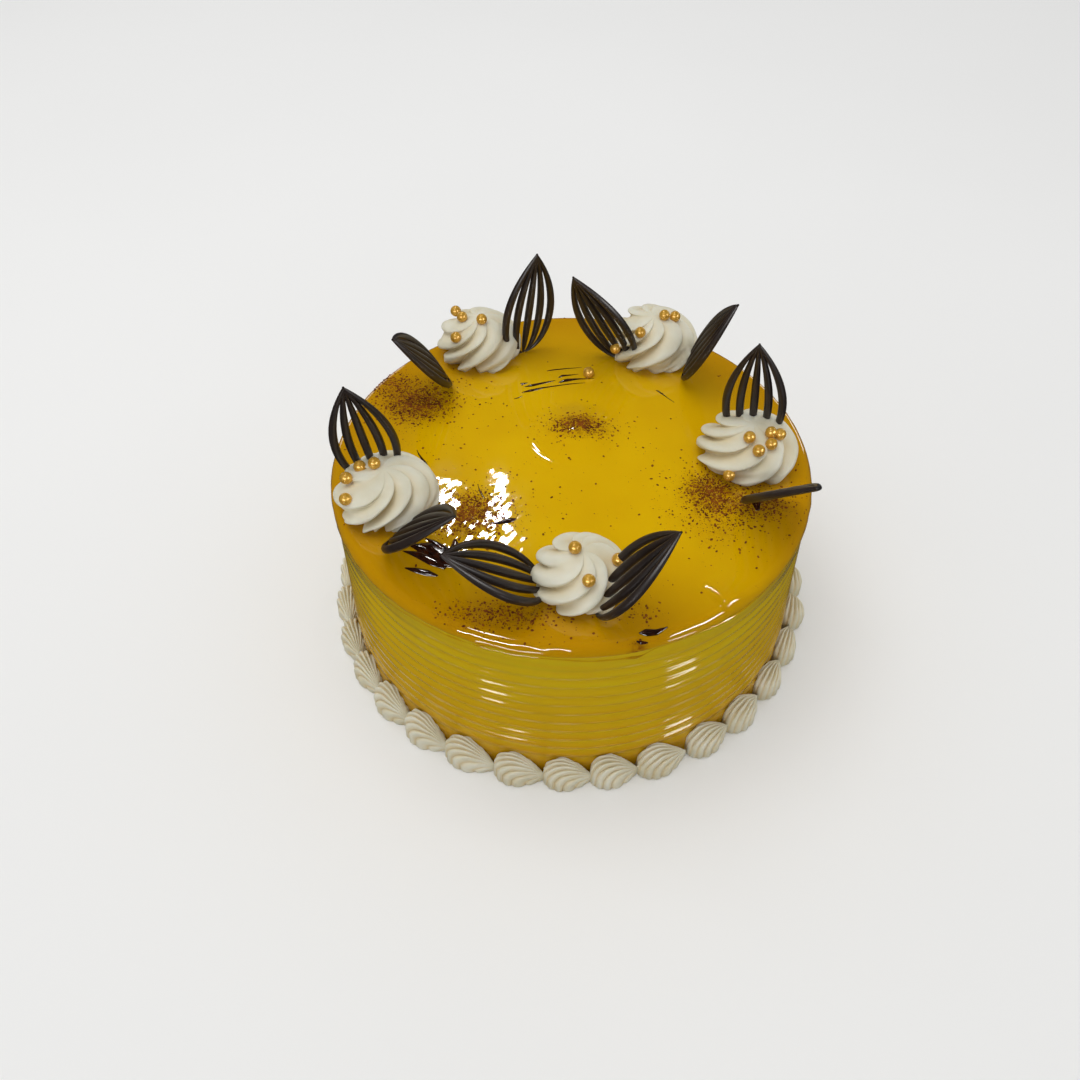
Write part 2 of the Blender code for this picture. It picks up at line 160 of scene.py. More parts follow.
def tint(tree, value, first, last, *between):
    """A colour ramp; each stop is a position and a hex code."""
    node = add(tree, "ShaderNodeValToRGB", {"Fac": value})
    stops = node.color_ramp.elements
    for stop, (position, code) in zip(stops, (first, last)):
        stop.position, stop.color = position, colour(code)
    for position, code in between:
        stops.new(position).color = colour(code)
    return node.outputs[0]


def blend(tree, share, under, code):
    return add(tree, "ShaderNodeMix", {0: share, 6: under, 7: colour(code)}, data_type="RGBA").outputs[2]


def new_material(name, **shader_values):
    """A material with its shader's constants set, and the place on the piece that patterns read."""
    made = bpy.data.materials.new(name)
    made.use_nodes = True
    tree = made.node_tree
    tree.nodes.clear()
    values = {key.replace("_", " ").title().replace("Ior", "IOR"): value
              for key, value in shader_values.items()}
    shader = add(tree, "ShaderNodeBsdfPrincipled", values)
    add(tree, "ShaderNodeOutputMaterial", {"Surface": shader.outputs[0]})
    return made, tree, add(tree, "ShaderNodeTexCoord").outputs["Object"]


def finished(made, shade, height=None, distance=0.0, strength=1.0):
    """Give a material its colour and, if it has one, its bump."""
    tree = made.node_tree
    shader = tree.nodes["Principled BSDF"]
    tree.links.new(shade, shader.inputs["Base Color"])
    if height is not None:
        bump = add(tree, "ShaderNodeBump", {"Height": height, "Distance": distance, "Strength": strength})
        tree.links.new(bump.outputs[0], shader.inputs["Normal"])
        tree.links.new(bump.outputs[0], shader.inputs["Coat Normal"])
    print("made", made.name)
    return made


print("helpers ready, mango is", colour("#D6A400"))

# %% [markdown]
# ## Whipped cream
# Whipped cream is a foam of fat: ivory, with a soft satin skin, and light goes a little way into it. Tiny
# bubbles and the drag of the nozzle leave it slightly rough, so the bump has a fine grain under 1 mm. Its
# creases are painted a darker, warmer yellow as painted shade.

# %% Whipped cream, for the rosettes and the shells
def make_cream():
    made, tree, place = new_material(
        "whipped_cream", roughness=0.5, ior=1.42, subsurface_weight=0.15, subsurface_scale=0.0015,
        subsurface_radius=(1.0, 0.75, 0.45))
    fresh = tint(tree, noise(tree, place, 14 * MM, 3.0), (0.35, "#D6D0B6"), (0.65, "#E2DFCC"))
    crease = add(tree, "ShaderNodeAttribute", attribute_name="crease").outputs["Fac"]
    # The creases are painted a darker, warmer yellow: painted shade in the folds of the cream.
    warm = blend(tree, calc(tree, "MULTIPLY", crease, 0.55), fresh, "#E2C27C")
    return finished(made, warm, noise(tree, place, 0.9 * MM, 2.0), 0.05 * MM, 0.5)


cream = make_cream()

# %% [markdown]
# ## Chocolate, cocoa and gold
# The leaves are moulded dark chocolate: nearly black, satin, with a faint bloom. The strokes on the glaze
# are the same chocolate, melted, so they are wet and black. Cocoa dust soaks up gel and turns dark brown.
# The pearls are sugar with a metallic coat: a warm metal, not quite smooth.

# %% Dark chocolate, melted chocolate, cocoa and gold sugar pearl
def make_chocolate():
    made, tree, place = new_material("moulded_dark_chocolate", roughness=0.38, ior=1.46)
    bloom = tint(tree, noise(tree, place, 9 * MM, 4.0), (0.3, "#211613"), (0.75, "#33261F"))
    return finished(made, bloom, noise(tree, place, 1.4 * MM, 2.0), 0.06 * MM, 0.4)


def make_melted_chocolate():
    made, tree, place = new_material(
        "melted_chocolate", roughness=0.14, ior=1.46, coat_weight=0.8, coat_roughness=0.05)
    thin = noise(tree, place, 2.5 * MM, 4.0)
    return finished(made, tint(tree, thin, (0.4, "#1C0702"), (0.7, "#4A1D05")), thin, 0.1 * MM, 0.4)


def make_cocoa():
    made, tree, place = new_material("wet_cocoa", roughness=0.8, specular_ior_level=0.1)
    return finished(made, tint(tree, noise(tree, place, 3 * MM, 2.0), (0.35, "#5C2800"), (0.65, "#8A4A08")))


def make_gold():
    made, tree, place = new_material(
        "gold_sugar_pearl", metallic=0.35, roughness=0.38, coat_weight=0.5, coat_roughness=0.2)
    wear = noise(tree, place, 1.2 * MM, 3.0)
    return finished(made, tint(tree, wear, (0.3, "#C8921F"), (0.7, "#E4B240")), wear, 0.03 * MM, 0.4)


chocolate = make_chocolate()
melted = make_melted_chocolate()
cocoa = make_cocoa()
gold = make_gold()

# %% [markdown]
# ## Where the cocoa lies
# Cocoa was shaken over the top in a few places: thick at their middles and thinning outwards. The same list
# of patches stains the glaze in its material and later decides where the grains fall.

# %% Patches of cocoa: place and reach in mm, and strength
COCOA_PATCHES = (
    (3.0, 14.0, 17.0, 10.0, 1.0),
    (-66.0, 31.0, 22.0, 18.0, 1.0),
    (-80.0, 44.0, 14.0, 10.0, 0.5),
    (54.0, -21.0, 16.0, 17.0, 1.0),
    (72.0, -27.0, 20.0, 12.0, 0.6),
    (56.0, -38.0, 24.0, 16.0, 0.15),
    (-38.0, -34.0, 22.0, 18.0, 1.0),
    (-24.0, -82.0, 32.0, 10.0, 0.45),
    (24.0, -80.0, 14.0, 8.0, 0.12),
    (23.5, -94.0, 5.0, 3.0, 0.9),
)


def cocoa_amount(tree, place):
    """Sum of the patches at a place, each fading from its middle to its reach."""
    total = None
    for x, y, reach_x, reach_y, strength in COCOA_PATCHES:
        shifted = vector(tree, "ADD", place, (-x * MM, -y * MM, 0.0))
        shrunk = vector(tree, "MULTIPLY", shifted, (1.0 / (reach_x * MM), 1.0 / (reach_y * MM), 0.0))
        patch = fade(tree, vector(tree, "LENGTH", shrunk), 0.1, 1.0, strength, 0.0)
        total = patch if total is None else calc(tree, "ADD", total, patch)
    return total


print(len(COCOA_PATCHES), "patches of cocoa")

# %% [markdown]
# ## Mango glaze
# The glaze is fruit gel set with pectin: deep yellow, clear at its surface and very glossy. Where it is
# thick, as at the rim and the lip, it turns amber. It is made as one skin with a mirror-like finish, whose
# colour follows its distance from the middle and its height, and the cocoa stains it brown.

# %% Mango glaze
RIM_TONE_FROM = 48 * MM
THIN_AT = (50 * MM, -55 * MM, 0.0)


def make_glaze_finish():
    made, tree, place = new_material(
        "set_mango_glaze", roughness=0.04, ior=1.4, coat_weight=0.6, coat_roughness=0.02,
        subsurface_weight=0.12, subsurface_scale=0.004, subsurface_radius=(1.0, 0.6, 0.05))
    cloudy = tint(tree, noise(tree, place, 38 * MM, 2.0), (0.3, "#D5A500"), (0.7, "#E0B300"))
    # Thick gel at the rim is amber, but paler where it ran thin at the front right
    level = vector(tree, "MULTIPLY", place, (1.0, 1.0, 0.0))
    edge = fade(tree, vector(tree, "LENGTH", level), RIM_TONE_FROM, RIM_RADIUS, 0.0, 0.9)
    thin = fade(tree, vector(tree, "DISTANCE", level, THIN_AT), 8 * MM, 42 * MM, 0.4)
    warm = blend(tree, calc(tree, "MULTIPLY", edge, thin), cloudy, "#BC8600")
    drop = fade(tree, height_of(tree, place), GLAZE_TOP - 6 * MM, GLAZE_TOP - 0.6 * MM, 1.0, 0.0)
    amber = blend(tree, drop, warm, "#C09200")
    # The cocoa's stain is broken up by the size of its clumps
    clumps = noise(tree, place, 2.2 * MM, 5.0, Roughness=0.7)
    speckle = fade(tree, clumps, 0.45, 0.62, 0.32, style="LINEAR")
    stain = calc(tree, "MULTIPLY", cocoa_amount(tree, place), speckle, clamp=True)
    stained = blend(tree, calc(tree, "MULTIPLY", stain, 0.9), amber, "#743203")
    return finished(made, stained, noise(tree, place, 16 * MM, 2.0), 0.25 * MM, 0.35)


glaze = make_glaze_finish()

# %% [markdown]
# ## Combed cream under gel
# The side is cream drawn with a comb and then washed with the same gel. It looks more olive than the top,
# because the cream shows through, and amber round the foot, where gel has pooled. The grooves are painted a
# lighter yellow: painted light that offsets the shade gathering in them.

# %% Combed side finish
# Streaks in the cream lie level: their size in mm along X, Y and Z
SMEAR_SIZE = (30, 30, 3)


def make_side_finish():
    made, tree, place = new_material(
        "combed_cream_under_gel", roughness=0.16, ior=1.42, coat_weight=0.7, coat_roughness=0.06,
        subsurface_weight=0.12, subsurface_scale=0.004, subsurface_radius=(1.0, 0.6, 0.1))
    smear = add(tree, "ShaderNodeMapping",
                {"Vector": place, "Scale": [1.0 / (size * MM) for size in SMEAR_SIZE]}).outputs[0]
    streak = noise(tree, smear, 1.0, 3.0)
    low = fade(tree, height_of(tree, place), 8 * MM, 62 * MM, 1.0, 0.0, style="LINEAR")
    mixed = calc(tree, "MULTIPLY", calc(tree, "ADD", low, streak), 0.6)
    washed = tint(tree, mixed, (0.22, "#CFB100"), (0.85, "#CC9900"), (0.5, "#CEA400"))
    groove = add(tree, "ShaderNodeAttribute", attribute_name="groove").outputs["Fac"]
    # The grooves are painted a lighter yellow: painted light that offsets the shade in them.
    return finished(made, blend(tree, groove, washed, "#D2AC00"), streak, 0.2 * MM, 0.3)


side_finish = make_side_finish()

# %% [markdown]
# ## Skins from rings of points
# Almost every piece here is a skin wrapped round rings of points: the cap, the rosettes and the shells. One
# helper joins the rings, closes both ends with a pole and turns the faces outwards. Arrays hold the points,
# because a formula can then shape thousands of them at once.

# %% Skin helper
def skin_mesh(name, rings, first, last, material):
    """Close rings of points (rows, columns, xyz) with a pole at each end."""
    rows, columns, _ = rings.shape
    points = np.vstack([[first], rings.reshape(-1, 3), [last]])
    pairs = [(a, (a + 1) % columns) for a in range(columns)]
    starts = [1 + row * columns for row in range(rows)]
    faces = [(0, 1 + b, 1 + a) for a, b in pairs]
    for low, high in zip(starts, starts[1:]):
        faces += [(low + a, low + b, high + b, high + a) for a, b in pairs]
    faces += [(starts[-1] + a, starts[-1] + b, len(points) - 1) for a, b in pairs]
    mesh = bpy.data.meshes.new(name)
    mesh.from_pydata(points.tolist(), [], faces)
    work = bmesh.new()
    work.from_mesh(mesh)
    bmesh.ops.recalc_face_normals(work, faces=work.faces)
    work.to_mesh(mesh)
    work.free()
    mesh.materials.append(material)
    mesh.shade_smooth()
    return mesh


def turned_rings(radius, height, turn, x=0.0, y=0.0):
    """Rings of points about an upright axis at (x, y)."""
    return np.dstack(np.broadcast_arrays(x + radius * np.cos(turn), y + radius * np.sin(turn), height))


def point_mesh(name, points):
    mesh = bpy.data.meshes.new(name)
    mesh.from_pydata(points, [], [])
    return mesh


def keep(mesh, label, values, kind="FLOAT"):
    """Keep a value on each point of a mesh, for a tree or a material to read."""
    field = "vector" if kind == "FLOAT_VECTOR" else "value"
    mesh.attributes.new(label, kind, "POINT").data.foreach_set(field, values)


def mark_creases(mesh, depth):
    """Keep how deep in a crease each ring point lies; the two poles count as flat."""
    keep(mesh, "crease", np.concatenate([[0.0], depth.ravel(), [0.0]]))
    return mesh


def show(name, mesh):
    item = bpy.data.objects.new(name, mesh)
    bpy.context.scene.collection.objects.link(item)
    return item


def stand_for(item, slot, *nodes):
    """Hang a piece on the body and hide the solids of the frame that it stands for."""
    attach(item, BODY)
    if nodes:
        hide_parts(*nodes)
    print(item.name, "has", len(item.data.polygons), "faces and stands for", len(nodes), "nodes")


def held(value):
    """The value, kept between 0 and 1."""
    return np.clip(value, 0.0, 1.0)


def smooth_noise(x, y, size, seed):
    """Slow, repeatable unevenness: a few sine waves whose directions are drawn from a seed."""
    draw = random.Random(seed)
    total = np.zeros_like(x)
    for _ in range(5):
        turn = draw.uniform(0.0, FULL_TURN)
        wave = draw.uniform(0.7, 1.4) * size
        phase = draw.uniform(0.0, FULL_TURN)
        total += np.sin((x * math.cos(turn) + y * math.sin(turn)) * FULL_TURN / wave + phase)
    return total / 5.0


# %% [markdown]
# ## Geometry Nodes helpers
# A tree is a recipe with named inputs. It is run on a base object, its inputs are set by their sockets'
# identifiers, and the result is kept as a plain mesh so that nothing is left live on the piece. Each recipe
# ends the same way: its copies are made real and given their finish.

# %% Tree helpers
def new_tree(name, sizes):
    """A tree with named inputs: the geometry, then label to value, and the finish last."""
    tree = bpy.data.node_groups.new(name, "GeometryNodeTree")
    for side in ("INPUT", "OUTPUT"):
        tree.interface.new_socket("Geometry", in_out=side, socket_type="NodeSocketGeometry")
    for label, value in {**sizes, "Finish": "Material"}.items():
        kind = {float: "Float", int: "Int"}.get(type(value), value)
        socket = tree.interface.new_socket(label, in_out="INPUT", socket_type=f"NodeSocket{kind}")
        if kind != value:
            socket.default_value = value
    return tree, add(tree, "NodeGroupInput").outputs


def end_tree(tree, given, geometry):
    real = add(tree, "GeometryNodeRealizeInstances", {0: geometry})
    done = add(tree, "GeometryNodeSetMaterial", {"Geometry": real.outputs[0], "Material": given["Finish"]})
    add(tree, "NodeGroupOutput", {0: done.outputs[0]})
    return tree


def kept(tree, label, kind="FLOAT"):
    """Value that the base mesh keeps on each point."""
    return add(tree, "GeometryNodeInputNamedAttribute", {"Name": label}, data_type=kind).outputs[0]


def moved(tree, geometry, **inputs):
    return add(tree, "GeometryNodeSetPosition", {"Geometry": geometry, **inputs}).outputs[0]


def run_tree(item, tree, values, smooth=True):
    """Run a tree on an object and keep what it makes as the object's plain mesh."""
    step = item.modifiers.new(tree.name, "NODES")
    step.node_group = tree
    for socket in tree.interface.items_tree:
        if socket.item_type == "SOCKET" and socket.in_out == "INPUT" and socket.name in values:
            step[socket.identifier] = values[socket.name]
    bpy.context.view_layer.update()
    made = item.evaluated_get(bpy.context.evaluated_depsgraph_get())
    mesh = bpy.data.meshes.new_from_object(made)
    item.modifiers.remove(step)
    item.data = mesh
    if smooth:
        mesh.shade_smooth()
    print(tree.name, "made", len(mesh.polygons), "faces")
    return item


# %% [markdown]
# ## The combed side
# A comb held against the turning cake leaves level ridges about 5.7 mm apart. A plain turned wall is made
# first, and a tree then pushes it in by its height: a rounded ridge, then a narrow groove under a millimetre
# deep. Slow noise makes the ridges wander and fade, as a hand does, and they drown in gel near the foot.

# %% Turned wall
WALL_COLUMNS = 256
WALL_STEP = 0.55 * MM
RIDGE_PITCH = 5.67 * MM
RIDGE_TOP = 73.0 * MM
WALL_TOP_RADIUS = RIM_RADIUS - 1.4 * MM
RIDGE_STAND = 0.9 * MM
FLARE_POWER = 0.7
SWELL_FROM, SWELL_RUN, SWELL = 64.0 * MM, 10.0 * MM, 0.35 * MM
FOOT_SHARES = (0.3, 0.6, 0.85, 0.97)
TOP_SHARES = (0.98, 0.9, 0.6, 0.3)


def wall_radius(height):
    """Radius of the side: it flares softly to its foot and swells again to meet the lip."""
    share = held(height / RIDGE_TOP)
    under_lip = held((height - SWELL_FROM) / SWELL_RUN)
    flare = (WALL_TOP_RADIUS + RIDGE_STAND - BASE_RADIUS) * share ** FLARE_POWER
    return BASE_RADIUS + flare + SWELL * under_lip ** 2


def turned_wall():
    outline = [(BASE_RADIUS * share, 0.0) for share in FOOT_SHARES]
    outline += [(wall_radius(height), height) for height in np.arange(0.0, CAKE_TOP, WALL_STEP)]
    outline = np.array(outline + [(WALL_TOP_RADIUS * share, CAKE_TOP) for share in TOP_SHARES])
    turn = np.linspace(0.0, FULL_TURN, WALL_COLUMNS, endpoint=False)
    rings = turned_rings(outline[:, :1], outline[:, 1:], turn)
    return skin_mesh("combed_side", rings, (0.0, 0.0, 0.0), (0.0, 0.0, CAKE_TOP), side_finish)


combed_side = show("combed_side", turned_wall())

# %% Comb tree: ridges across the wall
RISE_ABOVE_FOOT = 16 * MM
FADE_UNDER_LIP = 7 * MM


def comb_tree():
    tree, given = new_tree("Comb", {"Pitch": RIDGE_PITCH, "Depth": 0.82 * MM, "Wander": 0.7 * MM,
                                    "Lowest": 3.0 * MM, "Highest": RIDGE_TOP})
    place = add(tree, "GeometryNodeInputPosition").outputs[0]
    height = height_of(tree, place)
    # The comb wanders up and down, and every pitch of height is one turn of a wave
    sway = calc(tree, "SUBTRACT", noise(tree, place, 60 * MM, 2.0), 0.5)
    sway = calc(tree, "MULTIPLY", calc(tree, "MULTIPLY", sway, given["Wander"]), 4.0)
    count = calc(tree, "DIVIDE", calc(tree, "ADD", height, sway), given["Pitch"])
    swing = calc(tree, "MULTIPLY", calc(tree, "FRACT", count), FULL_TURN)
    dip = calc(tree, "MULTIPLY_ADD", calc(tree, "COSINE", swing), 0.5, 0.5)
    # The ridges fade at the foot, under the lip and in patches
    rise = fade(tree, height, given["Lowest"], calc(tree, "ADD", given["Lowest"], RISE_ABOVE_FOOT))
    near_lip = calc(tree, "SUBTRACT", given["Highest"], FADE_UNDER_LIP)
    under_lip = fade(tree, height, near_lip, given["Highest"], 1.0, 0.0, style="LINEAR")
    uneven = fade(tree, noise(tree, place, 34 * MM, 1.0), 0.35, 0.65, 0.4, style="LINEAR")
    mask = calc(tree, "MULTIPLY", calc(tree, "MULTIPLY", rise, under_lip), uneven)
    groove = calc(tree, "MULTIPLY", dip, mask)
    inward = vector(tree, "NORMALIZE", vector(tree, "MULTIPLY", place, (-1.0, -1.0, 0.0)))
    push = stretched(tree, inward, calc(tree, "MULTIPLY", groove, given["Depth"]))
    combed = moved(tree, given["Geometry"], Offset=push)
    stored = add(tree, "GeometryNodeStoreNamedAttribute",
                 {"Geometry": combed, "Name": "groove", "Value": groove})
    return end_tree(tree, given, stored.outputs[0])


run_tree(combed_side, comb_tree(), {"Finish": side_finish})
stand_for(combed_side, "combed_cream", "cake_body")

# %% [markdown]
# ## The cap of glaze
# Gel was poured on the top and pushed just over the edge. It lies level, rolls over the rim and stops in a
# thin wavy lip with a bead along its end. Near the middle it was left in a low mound, and at the front right
# a thick fold hangs over the rim. Each of these is a small formula added to one turned skin.

# %% Heights of the glaze
MOUND_AT = (2.0, 13.0)
MOUND_RADIUS = 21.0
MOUND_HEIGHT = 4.0
LIP_DROP = 7.0 * MM
LIP_WAVES = ((3, 0.9 * MM, 0.6), (7, 0.5 * MM, 2.1), (13, 0.3 * MM, 4.0), (23, 0.15 * MM, 1.0))
CORNER_AZIMUTH = math.radians(-76.0)
CORNER_SPREAD = math.radians(2.5)
CORNER_DROP = 1.2 * MM
# Right of its corner the lip is short, from one step past the corner to a soft end
SHORT_LIP = 2.6 * MM
SHORT_STEP, SHORT_RUN = math.radians(4.0), math.radians(50.0)
SHORT_END = math.radians(20.0)
FOLD_AZIMUTH = math.radians(-54.5)
FOLD_SPREAD = math.radians(6.0)
FOLD_HEIGHT, FOLD_FROM, FOLD_RUN = 1.8, 82.0, 8.0
ROUGH_AT, ROUGH_REACH = (-44.0, -42.0), 30.0
# Height and size in mm, and seed, of the gel's waves
SLOW_WAVE = (0.10, 46.0, 5)
ROUGH_WAVES = ((0.075, 12.0, 8), (0.03, 5.0, 9))


def glaze_relief(x, y):
    """Height of the top above level, for arrays of places in metres."""
    def wave(height, size, seed):
        return height * smooth_noise(x, y, size, seed)

    x, y = x / MM, y / MM
    away = np.hypot(x - MOUND_AT[0], y - MOUND_AT[1]) / MOUND_RADIUS
    rise = MOUND_HEIGHT * np.clip(1.0 - away * away, 0.0, None) ** 2
    rise += wave(*SLOW_WAVE)
    rough = np.exp(-(((x - ROUGH_AT[0]) ** 2 + (y - ROUGH_AT[1]) ** 2) / ROUGH_REACH ** 2))
    rise += rough * sum(wave(*spec) for spec in ROUGH_WAVES)
    past = (np.arctan2(y, x) - FOLD_AZIMUTH) / FOLD_SPREAD
    fold = np.where(past > 0.0, np.exp(-past ** 2), held(1.0 + past * 5.0))
    fold *= held((np.hypot(x, y) - FOLD_FROM) / FOLD_RUN)
    return (rise + FOLD_HEIGHT * fold) * MM


def lip_wave(turn):
    """Rise of the lip's lower edge around the cake."""
    wave = sum(size * np.sin(count * turn + phase) for count, size, phase in LIP_WAVES)
    past = held((turn - CORNER_AZIMUTH) / SHORT_STEP)
    back = held((SHORT_END - turn) / SHORT_RUN)
    corner = np.exp(-(((turn - CORNER_AZIMUTH) / CORNER_SPREAD) ** 2))
    return wave + SHORT_LIP * past * back - CORNER_DROP * corner


# %% Turned cap with its lip
CAP_COLUMNS = 540
LIP_END = GLAZE_TOP - LIP_DROP
LIP_BEAD = 0.3 * MM
LIP_HEIGHT = 3.0 * MM
LIP_HOLLOW = 0.25 * MM
LIP_RIPPLE, RIPPLE_SIZE, RIPPLE_SEED = 0.16, 9.0, 12
FOLD_SWELL = 0.5 * MM
RIM_ROUND = 4.0 * MM
RIM_FOOT = GLAZE_TOP - RIM_ROUND
TOP_STEP = 1.0 * MM
OUTSIDE_FROM = WALL_TOP_RADIUS + 0.35 * MM


def cap_outline():
    """Radius and height from the middle of the underside, round the lip, to the middle of the top."""
    inner, under = WALL_TOP_RADIUS + GAP, CAKE_TOP + GAP
    path = [(inner * share, under) for share in (0.35, 0.7, 0.95)]
    path += [(inner, under - 1.0 * MM), (inner, under - 2.5 * MM), (inner, LIP_END + 0.6 * MM)]
    for turn in np.radians(np.linspace(200.0, 350.0, 8)):
        path.append((RIM_RADIUS - LIP_BEAD + LIP_BEAD * math.cos(turn),
                     LIP_END + LIP_BEAD * (1.0 + math.sin(turn))))
    for share in np.linspace(0.0, 1.0, 8):
        path.append((RIM_RADIUS - LIP_HOLLOW * math.sin(math.pi * share),
                     LIP_END + LIP_BEAD + (LIP_HEIGHT - LIP_BEAD) * share))
    for turn in np.radians(np.linspace(6.0, 90.0, 16)):
        path.append((RIM_RADIUS - RIM_ROUND * (1.0 - math.cos(turn)),
                     GLAZE_TOP - RIM_ROUND * (1.0 - math.sin(turn))))
    path += [(radius, GLAZE_TOP) for radius in np.arange(RIM_RADIUS - 5.0 * MM, 0.4 * MM, -TOP_STEP)]
    return np.array(path)


def cap_mesh():
    path = cap_outline()
    turn = np.linspace(-math.pi, math.pi, CAP_COLUMNS, endpoint=False)
    radius, height, turn = np.broadcast_arrays(path[:, :1], path[:, 1:], turn)
    outside = radius > OUTSIDE_FROM
    hang = held((RIM_FOOT - height) / (RIM_FOOT - LIP_END))
    relief = glaze_relief(radius * np.cos(turn), radius * np.sin(turn))
    relief = relief * held((height - RIM_FOOT) / RIM_ROUND)
    height = (height + np.where(outside, hang * lip_wave(turn), 0.0)
              + np.where(height > RIM_FOOT, relief, 0.0))
    swell = FOLD_SWELL * np.exp(-(((turn - FOLD_AZIMUTH) / FOLD_SPREAD) ** 2)) * hang * outside
    arc = turn * RIM_RADIUS / MM
    ripple = smooth_noise(arc, height * 2.0 / MM, RIPPLE_SIZE, RIPPLE_SEED)
    swell = swell + outside * LIP_RIPPLE * MM * ripple
    middle = float(glaze_relief(np.zeros(1), np.zeros(1))[0])
    return skin_mesh("glaze_cap_skin", turned_rings(radius + swell, height, turn),
                     (0.0, 0.0, CAKE_TOP + GAP), (0.0, 0.0, GLAZE_TOP + middle), glaze)


glaze_skin = show("glaze_skin", cap_mesh())
stand_for(glaze_skin, "mango_glaze", "glaze_cap")

# %% [markdown]
# ## Piped rosettes
# A star nozzle turned once over itself leaves a turban of eight sharp pleats that climb anticlockwise, above
# a frilled foot. The pleats are a formula: the ring's radius dips sharply between lobes, every ring is
# turned a little further than the one below, and the pleats lean over as soft cream does.

# %% Rosette formula
ROSETTE_LOBES = 8
ROSETTE_TWIST = math.radians(100.0)
ROSETTE_GROOVE = 0.23
ROSETTE_FRILL = 0.045
ROSETTE_LEAN = 0.11
ROSETTE_SUNK = 0.4 * MM
FIRST_ROSETTE_SEED = 20
ROSETTE_COLUMNS = ROSETTE_LOBES * 28
ROSETTE_ROWS = 72
ROSETTE_PROFILE = np.array([(0.0, 0.84), (0.10, 0.97), (0.30, 1.0), (0.52, 0.93), (0.72, 0.76),
                            (0.87, 0.53), (0.96, 0.28), (1.0, 0.04)])


def smooth_path(path, rows, passes=40):
    """Even steps along a path of points, with its corners rounded."""
    steps = np.hypot(*np.diff(path, axis=0).T)
    along = np.concatenate([[0.0], np.cumsum(steps)])
    spots = np.linspace(0.0, along[-1], rows)
    even = np.column_stack([np.interp(spots, along, path[:, i]) for i in range(path.shape[1])])
    for _ in range(passes):
        even[1:-1] = (even[:-2] + 2.0 * even[1:-1] + even[2:]) / 4.0
    return even


def rosette_mesh(place, seed):
    x, y, radius, height = (value * MM for value in ROSETTES[place])
    path = smooth_path(ROSETTE_PROFILE, ROSETTE_ROWS, 12)
    up, out = path[:, :1], path[:, 1:]
    turn = np.linspace(0.0, FULL_TURN, ROSETTE_COLUMNS, endpoint=False)
    draw = random.Random(seed)
    first, second, third = (draw.uniform(0.0, FULL_TURN) for _ in range(3))
    # Slow waves, drawn from the seed, make the pleats unequal in width and in depth
    lobe = ROSETTE_LOBES * turn + 1.0 * np.sin(2.0 * turn + first)
    lobe = lobe + 0.8 * np.sin(3.0 * turn + second + 4.0 * up)
    lobe = lobe + 0.45 * np.sin(5.0 * turn + third - 7.0 * up)
    pleat = (0.5 - 0.5 * np.cos(lobe + 0.55 * np.sin(lobe))) ** 1.25
    deep = ROSETTE_GROOVE * (1.0 + 0.35 * np.sin(5.0 * turn + third) + 0.2 * np.sin(2.0 * turn + second))
    groove = deep * (1.0 - pleat) * np.minimum(1.0, out * 1.2)
    ruffle = np.sin(2.5 * lobe + first) * (1.0 + 0.6 * np.sin(3.0 * turn + third))
    frill = ROSETTE_FRILL * ruffle * held(1.3 - up / 0.2)
    wide = 0.05 * np.sin(turn + second) + 0.02 * np.sin(2.0 * turn + third)
    reach = out * (1.0 - groove + frill + wide)
    reach *= radius / np.percentile(reach.max(axis=0), 75.0)
    lean = ROSETTE_LEAN * pleat * held(up * 3.0)
    azimuth = turn + ROSETTE_TWIST * up ** 1.4 + lean
    level = ON_GLAZE + height * (up + 0.07 * (pleat - 0.6) * np.sin(math.pi * up))
    level[0] = GLAZE_TOP - ROSETTE_SUNK
    mesh = skin_mesh(f"rosette_{place}", turned_rings(reach, level, azimuth, x, y),
                     (x, y, level[0, 0]), (x, y, ON_GLAZE + height), cream)
    return mark_creases(mesh, groove / groove.max())


rosette_pieces = {}
for number, place in enumerate(ROSETTES):
    piece = show(f"piped_rosette_{place}", rosette_mesh(place, FIRST_ROSETTE_SEED + number))
    stand_for(piece, "whipped_cream", f"rosette_{place}")
    rosette_pieces[place] = piece

# %% [markdown]
# ## Piped shells
# Each shell was squeezed out low against the side and pulled away to a tail, always the same way round. The
# nozzle's teeth leave ridges that fan from the tail over the head. One shell is shaped by formula, and a
# tree copies it to each solid's own place and size, which are measured from the frame.

# %% One shell
SHELL_LENGTH = 20.4 * MM
SHELL_WIDTH = 14.4 * MM
SHELL_HEIGHT = 14.5 * MM
SHELL_CENTRE_RADIUS = 102.3 * MM
SHELL_WIDEST = 0.40
SHELL_TAIL = 0.28
SHELL_ROWS = 22
SHELL_RIDGES = 13
SHELL_GROOVE = 0.19
SHELL_FAN = math.radians(165.0)
# Powers of the head's and the tail's curve, seen from above and from the side
PLAN_POWERS = (2.0, 1.7)
BACK_POWERS = (2.4, 1.5)


def taper(share, widest, head_power, tail_power):
    """Width along a drop from its round head to its pointed tail, 1 where it is widest."""
    before = np.clip(widest - share, 0.0, None) / widest
    head = np.sqrt(held(1.0 - before ** head_power))
    fall = held((share - widest) / (1.0 - widest))
    return np.where(share < widest, head, 1.0 - fall ** tail_power)


